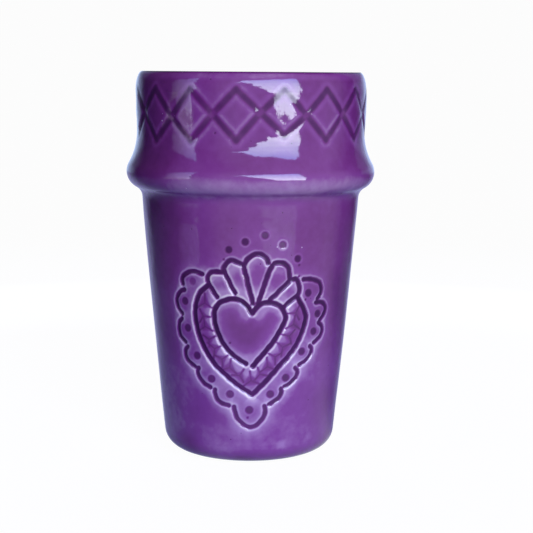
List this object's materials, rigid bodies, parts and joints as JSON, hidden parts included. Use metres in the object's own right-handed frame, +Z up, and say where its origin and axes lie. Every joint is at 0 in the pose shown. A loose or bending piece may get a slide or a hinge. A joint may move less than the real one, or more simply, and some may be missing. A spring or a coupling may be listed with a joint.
{
  "type": "glazed clay tumbler",
  "caption": "Tall handleless clay drinking cup with a rolled shoulder, a straight collar, a foot ring, glaze inside and out, and a carved heart and lozenge band.",
  "frame": {"origin": "centre of the foot ring, on the table", "axes": "+Z up along the axis of the cup, -Y out through the carved heart, +X to the right of the heart"},
  "size_m": [0.0798, 0.0798, 0.1225],
  "materials": {
    "clay": "bare fired clay, matt and slightly gritty",
    "outer_glaze": "glossy purple glaze, pooled dark in the carved lines and thin and pale on their edges",
    "inner_glaze": "glossy purple glaze"
  },
  "bodies": {
    "root": {"clay_body": "clay", "outer_glaze": "outer_glaze", "inner_glaze": "inner_glaze"}
  },
  "joints": []
}
